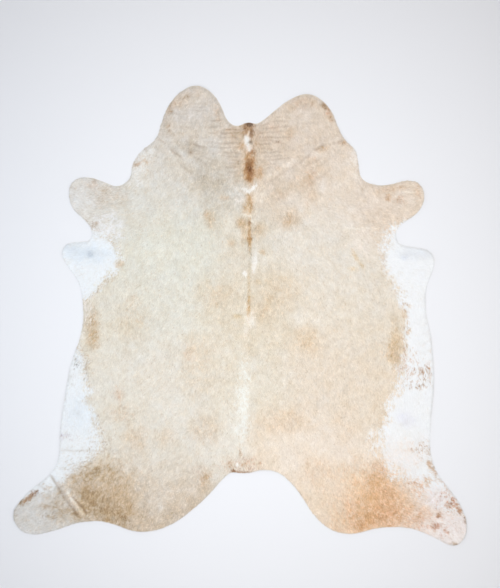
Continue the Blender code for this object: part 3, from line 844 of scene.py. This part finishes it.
def hairMaterial():
    # cattle hair: smooth keratin strands, so a soft broad gloss along the lie of the coat
    material, tree = newMaterial("cattle_hair_short")
    colour = addNode(tree, "ShaderNodeVertexColor", {"layer_name": "coat"})
    shader = addNode(tree, "ShaderNodeBsdfPrincipled", {
        "Roughness": 0.62, "IOR": 1.55, "Specular IOR Level": 0.35,
        "Sheen Weight": 0.12, "Sheen Roughness": 0.5,
    }, {"Base Color": colour.outputs["Color"]})
    finishMaterial(tree, shader)
    return material


def skinMaterial():
    # the hair roots and undercoat seen between the hairs, a shade deeper than the hair
    material, tree = newMaterial("hair_roots_on_skin")
    colour = addNode(tree, "ShaderNodeVertexColor", {"layer_name": "coat"})
    place = addNode(tree, "ShaderNodeTexCoord")
    # a hair is too fine to show, so the strands are drawn coarser: 2.4 mm wide, 11 mm long
    strands = addNode(tree, "ShaderNodeMapping",
                      {"Scale": (1000.0 / 2.4, 1000.0 / 11.0, 1000.0 / 11.0)},
                      {"Vector": place.outputs["Object"]})
    grain = addNode(tree, "ShaderNodeTexNoise", {"Scale": 1.0, "Detail": 3.0},
                    {"Vector": strands.outputs["Vector"]})
    tone = addNode(tree, "ShaderNodeMapRange",
                   {"From Min": 0.3, "From Max": 0.7, "To Min": 0.9, "To Max": 1.0},
                   {"Value": grain.outputs["Fac"]})
    shade = addNode(tree, "ShaderNodeVectorMath", {"operation": "SCALE"},
                    {0: colour.outputs["Color"], "Scale": tone.outputs["Result"]})
    bump = addNode(tree, "ShaderNodeBump", {"Strength": 0.5, "Distance": 0.0008},
                   {"Height": grain.outputs["Fac"]})
    shader = addNode(tree, "ShaderNodeBsdfPrincipled", {
        "Roughness": 0.75, "IOR": 1.5, "Specular IOR Level": 0.25,
    }, {"Base Color": shade.outputs["Vector"], "Normal": bump.outputs["Normal"]})
    finishMaterial(tree, shader)
    return material


def leatherMaterial(name, pale, deep, cloudMm):
    # chrome-tanned leather, flesh side buffed to a nap: no gloss, cloudy and faintly fibrous
    # the fibres of a nap are too fine to show, so it is drawn coarser, 2.5 mm from one to the next
    material, tree = newMaterial(name)
    place = addNode(tree, "ShaderNodeTexCoord")
    clouds = addNode(tree, "ShaderNodeTexNoise",
                     {"Scale": 1000.0 / cloudMm, "Detail": 6.0, "Roughness": 0.6},
                     {"Vector": place.outputs["Object"]})
    nap = addNode(tree, "ShaderNodeTexNoise", {"Scale": 1000.0 / 2.5, "Detail": 4.0, "Roughness": 0.7},
                  {"Vector": place.outputs["Object"]})
    mixed = addNode(tree, "ShaderNodeMath", {"operation": "MULTIPLY_ADD", 1: 0.35},
                    {0: nap.outputs["Fac"], 2: clouds.outputs["Fac"]})
    ramp = addNode(tree, "ShaderNodeValToRGB", links={"Fac": mixed.outputs["Value"]})
    ramp.color_ramp.elements[0].position, ramp.color_ramp.elements[1].position = 0.45, 0.9
    ramp.color_ramp.elements[0].color = linearHex(deep)
    ramp.color_ramp.elements[1].color = linearHex(pale)
    bump = addNode(tree, "ShaderNodeBump", {"Strength": 0.6, "Distance": 0.0006},
                   {"Height": nap.outputs["Fac"]})
    shader = addNode(tree, "ShaderNodeBsdfPrincipled", {
        "Roughness": 0.9, "IOR": 1.5, "Specular IOR Level": 0.2, "Sheen Weight": 0.15,
    }, {"Base Color": ramp.outputs["Color"], "Normal": bump.outputs["Normal"]})
    finishMaterial(tree, shader)
    return material


def floorMaterial():
    # matt emulsion paint on a plain floor
    material, tree = newMaterial("matt_paint")
    shader = addNode(tree, "ShaderNodeBsdfPrincipled", {
        "Base Color": linearHex("#e3e5e8"), "Roughness": 0.85, "Specular IOR Level": 0.2,
    })
    finishMaterial(tree, shader)
    return material


# the skin: one closed sheet of hair side, cut edge and flesh side

skin = {
    "coarse": 10.0 * mm,
    "fine": 5.2 * mm,
    "flesh": 19.0 * mm,
    "rimGap": 5.0 * mm,
    "fineNeck": (-400, 480, 690, 1065),
    "fineFold": 0.05,
    "edgeBulge": (0.25 * mm, 0.4 * mm, 0.3 * mm),
    "edgeSteps": (0.85, 0.5, 0.15),
    "jitter": 0.16,
    "leastSpacing": 0.6,
    "undercoatCell": 5.0,
}


def triangularLattice(spacing, seed):
    rowGap = spacing * math.sqrt(0.75)
    rows = np.arange(gridLow[1], gridHigh[1], rowGap)
    columns = np.arange(gridLow[0], gridHigh[0], spacing)
    x, y = np.meshgrid(columns, rows)
    x = x + (np.arange(len(rows)) % 2)[:, None] * spacing / 2
    jitter = np.random.default_rng(seed).uniform(-skin["jitter"], skin["jitter"], (2, x.size)) * spacing
    return x.ravel() + jitter[0], y.ravel() + jitter[1]


def wantsFine(x, y):
    left, right, low, high = (value * mm for value in skin["fineNeck"])
    inNeck = (x > left) & (x < right) & (y > low) & (y < high)
    return inNeck | (abs(foldMarks(x, y)[0]) > skin["fineFold"])


def sheetFaces(points):
    # the first points are the rim, and only the faces inside it are kept
    spots, _, faces, _, _, _ = delaunay_2d_cdt(
        [Vector(p) for p in points], [], [list(range(len(rim)))], 1, 1e-7
    )
    return np.array([(p.x, p.y) for p in spots]), [tuple(face) for face in faces]


def latticeInside(spacing, seed, keep=None):
    x, y = triangularLattice(spacing, seed)
    wanted = readGrid(rimGap, x, y) > max(skin["rimGap"], spacing * skin["leastSpacing"])
    if keep is not None:
        wanted &= keep(x, y)
    return np.column_stack([x[wanted], y[wanted]])


def buildSkin():
    fine = latticeInside(skin["fine"], seeds["fineLattice"], wantsFine)
    coarse = latticeInside(skin["coarse"], seeds["coarseLattice"], lambda x, y: ~wantsFine(x, y))
    flesh = latticeInside(skin["flesh"], seeds["fleshLattice"])
    topPoints, topFaces = sheetFaces(np.vstack([rim, fine, coarse]))
    lowPoints, lowFaces = sheetFaces(np.vstack([rim, flesh]))
    rimCount = len(rim)
    print("skin points", len(topPoints), "hair side", len(lowPoints), "flesh side")
    topZ = skinHeight(topPoints[:, 0], topPoints[:, 1])
    lowZ = fleshHeight(lowPoints[:, 0], lowPoints[:, 1])
    vertices = [np.column_stack([topPoints, topZ])]
    tangent = np.roll(rim, -1, axis=0) - np.roll(rim, 1, axis=0)
    outward = np.column_stack([tangent[:, 1], -tangent[:, 0]])
    outward /= np.linalg.norm(outward, axis=1)[:, None]
    area = 0.5 * np.sum(rim[:, 0] * np.roll(rim[:, 1], -1) - np.roll(rim[:, 0], -1) * rim[:, 1])
    if area < 0:
        outward = -outward
    for bulge, share in zip(skin["edgeBulge"], skin["edgeSteps"]):
        z = lowZ[:rimCount] + (topZ[:rimCount] - lowZ[:rimCount]) * share
        vertices.append(np.column_stack([rim + outward * bulge, z]))
    vertices.append(np.column_stack([lowPoints, lowZ]))
    starts = np.cumsum([0] + [len(v) for v in vertices])
    faces = list(topFaces)
    kinds = [0] * len(topFaces)    # 0 is the hair side, 1 the cut edge and 2 the flesh side
    for level in range(len(skin["edgeSteps"]) + 1):
        upper, lower = starts[level], starts[level + 1]
        for i in range(rimCount):
            j = (i + 1) % rimCount
            quad = (upper + i, lower + i, lower + j, upper + j)
            faces.append(quad if area > 0 else quad[::-1])
            kinds.append(1)
    lowStart = starts[-2]
    for face in lowFaces:
        faces.append(tuple(lowStart + i for i in reversed(face)))
        kinds.append(2)
    mesh = bpy.data.meshes.new("hide_skin")
    mesh.from_pydata(np.vstack(vertices).tolist(), [], [tuple(map(int, f)) for f in faces])
    mesh.polygons.foreach_set("material_index", kinds)
    mesh.shade_smooth()
    piece = bpy.data.objects.new("hide_skin", mesh)
    bpy.context.scene.collection.objects.link(piece)
    return piece, abs(area)


def paintSkin(piece):
    mesh = piece.data
    place = np.empty(len(mesh.vertices) * 3)
    mesh.vertices.foreach_get("co", place)
    x, y = place.reshape(-1, 3)[:, 0].copy(), place.reshape(-1, 3)[:, 1].copy()
    own = 0.5 + 0.5 * softNoise(x / mm, y / mm, skin["undercoatCell"], seeds["undercoat"])
    # the skin takes the folds' painted shade and highlight as well
    colour = coatColour(x, y, own)[0] * paintedFoldShading(x, y)
    values = np.column_stack([srgbToLinear(colour), np.ones(len(x))]).astype(np.float32)
    layer = mesh.color_attributes.new("coat", "FLOAT_COLOR", "POINT")
    layer.data.foreach_set("color", values.ravel())


# the coat: short flat hairs in locks, each a thin leaf of two faces that rises from the skin
# one hair is too fine to show, so a leaf is drawn as wide as a few hairs that lie together

hairs = {
    "count": 415000,
    "countArea": 3.42,    # square metres
    "rimGap": 0.8 * mm,
    "bands": ("coat_neck", "coat_shoulders", "coat_ribs", "coat_loin", "coat_haunches"),
    "length": (11.0 * mm, 19.0 * mm),
    "width": (1.5 * mm, 2.5 * mm),
    "rootDepth": 0.35 * mm,
    "midLift": (0.7 * mm, 1.5 * mm),
    "tipLift": (0.7 * mm, 2.4 * mm),
    "fullest": 0.42,
    "stray": 0.42,
    "roll": 0.5 * mm,
    "tone": 0.027,
    "rootShade": 0.95,
    "tipShade": 1.02,
    "overhang": 4.0 * mm,
    "leastReach": 0.1 * mm,
}


def hairRoots():
    # an even scatter with no clumps: a plane sequence from the plastic number
    plastic = 1.32471795724
    span = gridHigh - gridLow
    share = hairs["countArea"] / (span[0] * span[1])
    index = np.arange(int(hairs["count"] / share))
    x = gridLow[0] + span[0] * ((0.5 + index / plastic) % 1.0)
    y = gridLow[1] + span[1] * ((0.5 + index / plastic ** 2) % 1.0)
    inside = readGrid(rimGap, x, y) > hairs["rimGap"]
    return x[inside], y[inside]


def buildCoat():
    x, y = hairRoots()
    # from neck to haunches, so that each piece of the coat is one band across the body
    order = np.argsort(-y, kind="stable")
    x, y = x[order], y[order]
    random = np.random.default_rng(seeds["hairs"])
    count = len(x)
    print("hairs", count)

    def between(limits):
        return random.uniform(limits[0], limits[1], count)

    length, width = between(hairs["length"]), between(hairs["width"])
    angle = lieDirection(x, y) + random.normal(0, hairs["stray"], count)
    aimX, aimY = np.cos(angle), np.sin(angle)
    colour, contrast = coatColour(x, y, random.uniform(0, 1, count))
    colour += (random.normal(0, hairs["tone"], count) * contrast)[:, None]

    # a hair that would reach far over the cut rim has been trimmed with it
    gap = readGrid(rimGap, x, y)
    past = -readGrid(rimGap, x + aimX * length, y + aimY * length)
    trimmed = (gap + hairs["overhang"]) / np.maximum(gap + past, hairs["leastReach"])
    length = np.where(past > hairs["overhang"], length * trimmed, length)
    # painted shade: hairs near the cut rim are darkened for the thin shadow along the edge
    colour *= 1.0 - coat["paintedRimShade"] * np.exp(-((gap / coat["paintedRimShadeReach"]) ** 2))[:, None]
    roll = random.uniform(-1, 1, count) * hairs["roll"]
    midX, midY = x + aimX * length * hairs["fullest"], y + aimY * length * hairs["fullest"]
    tipX, tipY = x + aimX * length, y + aimY * length
    rootZ = skinHeight(x, y) - hairs["rootDepth"]
    midZ = skinHeight(midX, midY) + between(hairs["midLift"])
    tipZ = skinHeight(tipX, tipY) + between(hairs["tipLift"])
    sideX, sideY = -aimY * width / 2, aimX * width / 2
    corners = np.stack([
        np.column_stack([x, y, rootZ]),
        np.column_stack([midX - sideX, midY - sideY, midZ - roll]),
        np.column_stack([midX + sideX, midY + sideY, midZ + roll]),
        np.column_stack([tipX, tipY, tipZ]),
    ], axis=1)
    # each corner takes the folds' painted shade and highlight at its own place, and the root is painted
    # a shade darker, where the hairs above shade it, and the tip a little lighter
    rootTint = srgbToLinear(colour * paintedFoldShading(x, y)) * hairs["rootShade"]
    midTint = srgbToLinear(colour * paintedFoldShading(midX, midY))
    tipTint = srgbToLinear(colour * paintedFoldShading(tipX, tipY)) * hairs["tipShade"]
    shades = np.stack([rootTint, midTint, midTint, tipTint], axis=1)
    pieces = []
    for name, part in zip(hairs["bands"], np.array_split(np.arange(count), len(hairs["bands"]))):
        pieces.append(hairPiece(name, corners[part], shades[part]))
    return pieces


def hairPiece(name, corners, shades):
    count = len(corners)
    mesh = bpy.data.meshes.new(name)
    mesh.vertices.add(count * 4)
    mesh.vertices.foreach_set("co", corners.astype(np.float32).ravel())
    leaf = np.array([0, 1, 2, 2, 1, 3])    # root, middle left and right, and tip as two triangles
    corner = np.arange(count)[:, None] * 4 + leaf
    mesh.loops.add(count * 6)
    mesh.loops.foreach_set("vertex_index", corner.ravel().astype(np.int32))
    mesh.polygons.add(count * 2)
    mesh.polygons.foreach_set("loop_start", np.arange(0, count * 6, 3, dtype=np.int32))
    mesh.update(calc_edges=True)
    mesh.shade_smooth()
    layer = mesh.color_attributes.new("coat", "FLOAT_COLOR", "POINT")
    values = np.concatenate([shades, np.ones((count, 4, 1))], axis=2)
    layer.data.foreach_set("color", np.clip(values, 0, 1).astype(np.float32).ravel())
    piece = bpy.data.objects.new(name, mesh)
    bpy.context.scene.collection.objects.link(piece)
    return piece


skinPiece, cutArea = buildSkin()
paintSkin(skinPiece)
skinPiece.data.materials.append(skinMaterial())
skinPiece.data.materials.append(leatherMaterial("leather_cut_edge", "#cdb894", "#9a8160", 18.0))
skinPiece.data.materials.append(leatherMaterial("suede_flesh_side", "#e3d8c4", "#c2ae90", 120.0))
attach(skinPiece, "root")
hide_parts("hide")
print("skin built, faces", len(skinPiece.data.polygons), "cut area", round(cutArea, 3))

coatMaterial = hairMaterial()
coatPieces = buildCoat()
for piece in coatPieces:
    piece.data.materials.append(coatMaterial)
    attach(piece, "root")
print("coat built in", len(coatPieces), "pieces")


# the floor, the light and the camera, which looks straight down

studio = {
    "floorSize": 40.0,
    "floorDrop": 0.0004,
    "pixel": 5.0 * mm,
    "frame": (500, 588),
    "frameMiddle": (50.0 * mm, 107.5 * mm),
    "cameraHeight": 7.0,
    "sensor": 36.0,
    "aimedFrom": 120.0,    # a lamp with a wider spread than this is turned to the hide
    "sky": ("#fcf6f6", 0.468),
    # name, place, size, spread, watts, colour: a broad soft lamp overhead does most of the work,
    # and two weak ones make the left side cooler and the right side warmer
    "lights": (
        ("overhead", (0.12, -0.06, 3.13), (3.15, 4.0), 97.5, 41.0, "#fdfeff"),
        ("cool_side", (-2.5, 0.0, 2.4), (1.8, 2.4), 180.0, 14.0, "#b8deff"),
        ("warm_side", (2.5, -0.9, 2.4), (1.8, 2.4), 180.0, 5.0, "#fff4e0"),
    ),
}


def buildFloor():
    half = studio["floorSize"] / 2
    mesh = bpy.data.meshes.new("studio_floor")
    z = -studio["floorDrop"]
    mesh.from_pydata([(-half, -half, z), (half, -half, z), (half, half, z), (-half, half, z)],
                     [], [(0, 1, 2, 3)])
    floor = bpy.data.objects.new("studio_floor", mesh)
    bpy.context.scene.collection.objects.link(floor)
    mesh.materials.append(floorMaterial())


def buildLights():
    for name, place, size, spread, watts, code in studio["lights"]:
        data = bpy.data.lights.new(name, "AREA")
        data.shape = "RECTANGLE"
        data.size, data.size_y = size
        data.spread = math.radians(spread)
        data.energy = watts
        data.color = linearHex(code)[:3]
        lamp = bpy.data.objects.new(name, data)
        lamp.location = place
        if spread > studio["aimedFrom"]:
            lamp.rotation_euler = (-Vector(place)).to_track_quat("-Z", "Y").to_euler()
        bpy.context.scene.collection.objects.link(lamp)
    world = bpy.data.worlds.new("studio")
    world.use_nodes = True
    background = world.node_tree.nodes["Background"]
    background.inputs["Color"].default_value = linearHex(studio["sky"][0])
    background.inputs["Strength"].default_value = studio["sky"][1]
    bpy.context.scene.world = world


def buildCamera():
    data = bpy.data.cameras.new("overhead_camera")
    data.sensor_width = studio["sensor"]
    frameHeight = studio["frame"][1] * studio["pixel"]    # the longer side, which the sensor fits
    data.lens = studio["sensor"] * studio["cameraHeight"] / frameHeight
    camera = bpy.data.objects.new("overhead_camera", data)
    camera.location = (*studio["frameMiddle"], studio["cameraHeight"])
    bpy.context.scene.collection.objects.link(camera)
    bpy.context.scene.camera = camera


buildFloor()
buildLights()
buildCamera()
bpy.context.scene.view_settings.view_transform = "Standard"
print("studio set")
